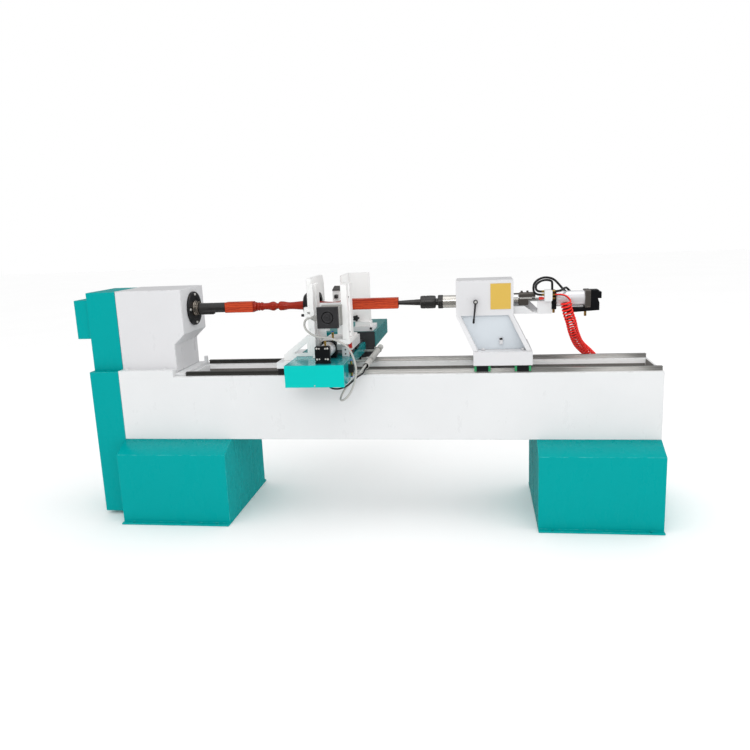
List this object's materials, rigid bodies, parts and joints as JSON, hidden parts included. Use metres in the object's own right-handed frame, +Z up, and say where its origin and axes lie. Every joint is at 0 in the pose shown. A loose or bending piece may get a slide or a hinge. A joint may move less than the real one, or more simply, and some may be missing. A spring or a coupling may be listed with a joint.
{
  "type": "automatic wood lathe",
  "caption": "Automatic wood-turning lathe: bed on sheet pedestals, belt-driven headstock, carriage with steady rest and tool feed, sliding tailstock with air-driven quill.",
  "frame": {"origin": "on the floor under the centre of the machine's outline", "axes": "+X from the headstock towards the tailstock along the spindle, +Y from the operator's side to the back, +Z up"},
  "size_m": [3.164, 1.358, 1.325],
  "materials": {
    "white_paint": "satin",
    "teal_paint": "satin",
    "turquoise_paint": "gloss",
    "black_metal": "satin",
    "cylinder_black": "anodised",
    "grey_metal": "satin",
    "steel": "ground",
    "polished_steel": "polished",
    "belt_rubber": "matte",
    "work_wood": "turned",
    "knob_plastic": "matte",
    "brass": "machined",
    "yellow_plate": "gloss",
    "red_plastic": "gloss",
    "grey_plastic": "matte",
    "black_plastic": "matte"
  },
  "bodies": {
    "base": {"bed_frame": "white_paint", "left_pedestal": "teal_paint", "right_pedestal": "teal_paint", "lower_belt_cabinet": "teal_paint", "upper_belt_cover": "teal_paint", "end_box": "teal_paint", "headstock_housing": "white_paint", "headstock_base_plate": "white_paint", "spindle_bearing_cover": "black_metal", "spindle_bearings": "steel", "main_motor": "grey_metal", "drive_belt": "belt_rubber", "guide_rails": "steel", "drive_rack": "steel", "air_union": "brass"},
    "spindle": {"spindle_shaft": "steel", "spindle_pulley": "steel", "drive_center": "black_metal", "workpiece": "work_wood"},
    "motor_rotor": {"motor_pulley": "steel"},
    "saddle": {"saddle_box": "teal_paint", "saddle_front_cover": "turquoise_paint", "saddle_side_bracket": "white_paint", "saddle_guide_blocks": "steel", "carriage_motor": "black_metal", "cross_rails": "steel", "slide_cylinder": "cylinder_black", "steady_plate": "white_paint", "steady_ring": "black_metal", "steady_brackets": "white_paint", "rear_housing": "teal_paint", "rubber_apron": "belt_rubber", "conduit_pipe": "grey_metal", "motor_cable": "grey_plastic", "black_cable": "black_plastic"},
    "pinion": {"carriage_pinion": "steel"},
    "cross_slide": {"cross_slide_table": "black_metal", "tool_tower": "white_paint", "feed_motor": "black_metal", "motor_plate": "grey_metal", "slide_cylinder_rod": "polished_steel"},
    "feed_screw": {"feed_screw": "steel"},
    "tool_slide": {"tool_slide": "steel", "turning_tool": "steel"},
    "rear_arm": {"rear_tool_arm": "white_paint"},
    "star_knob": {"star_knob": "knob_plastic"},
    "tailstock": {"tailstock_base": "white_paint", "tailstock_body": "white_paint", "blank_plate": "yellow_plate", "tail_guide_blocks": "steel", "tail_cylinder": "black_metal", "cylinder_bracket": "white_paint", "hand_valve": "white_paint", "air_tubes": "black_plastic", "spiral_hose": "red_plastic"},
    "quill": {"quill": "polished_steel", "rod_coupling": "black_metal"},
    "live_center": {"live_center": "black_metal"},
    "clamp_lever": {"clamp_lever": "polished_steel"},
    "valve_button": {"valve_button": "red_plastic"}
  },
  "joints": [
    {"name": "spindle_spin", "type": "hinge", "parent": "base", "child": "spindle", "pos_m": [-1.118, -0.266, 1.168], "axis": [1, 0, 0], "continuous": true},
    {"name": "motor_spin", "type": "hinge", "parent": "base", "child": "motor_rotor", "pos_m": [-1.418, -0.266, 0.575], "axis": [1, 0, 0], "continuous": true},
    {"name": "carriage_travel", "type": "slide", "parent": "base", "child": "saddle", "axis": [1, 0, 0], "range_m": [-0.45, 0.5]},
    {"name": "pinion_spin", "type": "hinge", "parent": "saddle", "child": "pinion", "pos_m": [-0.218, 0.00045, 0.78], "axis": [0, 0, 1], "range_deg": [-830, 750]},
    {"name": "cross_slide", "type": "slide", "parent": "saddle", "child": "cross_slide", "axis": [0, 1, 0], "range_m": [0, 0.05], "deforming": ["motor_cable"]},
    {"name": "tool_feed", "type": "slide", "parent": "cross_slide", "child": "tool_slide", "axis": [0, 1, 0], "range_m": [0, 0.05]},
    {"name": "feed_screw_spin", "type": "hinge", "parent": "cross_slide", "child": "feed_screw", "pos_m": [-0.086, -0.477, 1.142], "axis": [0, 1, 0], "range_deg": [-5, 910]},
    {"name": "rear_arm_adjust", "type": "slide", "parent": "saddle", "child": "rear_arm", "axis": [0, 1, 0], "range_m": [-0.04, 0.06]},
    {"name": "star_knob_turn", "type": "hinge", "parent": "rear_arm", "child": "star_knob", "pos_m": [-0.07, 0.113, 1.043], "axis": [0, 1, 0], "range_deg": [0, 720]},
    {"name": "tailstock_slide", "type": "slide", "parent": "base", "child": "tailstock", "axis": [1, 0, 0], "range_m": [0, 0.6], "deforming": ["spiral_hose"]},
    {"name": "quill_travel", "type": "slide", "parent": "tailstock", "child": "quill", "axis": [1, 0, 0], "range_m": [0, 0.05]},
    {"name": "live_center_spin", "type": "hinge", "parent": "quill", "child": "live_center", "pos_m": [0.382, -0.266, 1.168], "axis": [1, 0, 0], "continuous": true},
    {"name": "clamp_lever_turn", "type": "hinge", "parent": "tailstock", "child": "clamp_lever", "pos_m": [0.649, -0.377, 1.175], "axis": [0, 1, 0], "range_deg": [-20, 70]},
    {"name": "valve_button_press", "type": "slide", "parent": "tailstock", "child": "valve_button", "axis": [1, 0, 0], "range_m": [0, 0.005], "stiffness_N_per_m": 300}
  ],
  "couplings": [
    {"joint": "motor_spin", "follows": "spindle_spin", "ratio": 1.5},
    {"joint": "live_center_spin", "follows": "spindle_spin", "ratio": 1},
    {"joint": "pinion_spin", "follows": "carriage_travel", "rad_per_m": -28.571},
    {"joint": "feed_screw_spin", "follows": "tool_feed", "rad_per_m": 314.16}
  ]
}
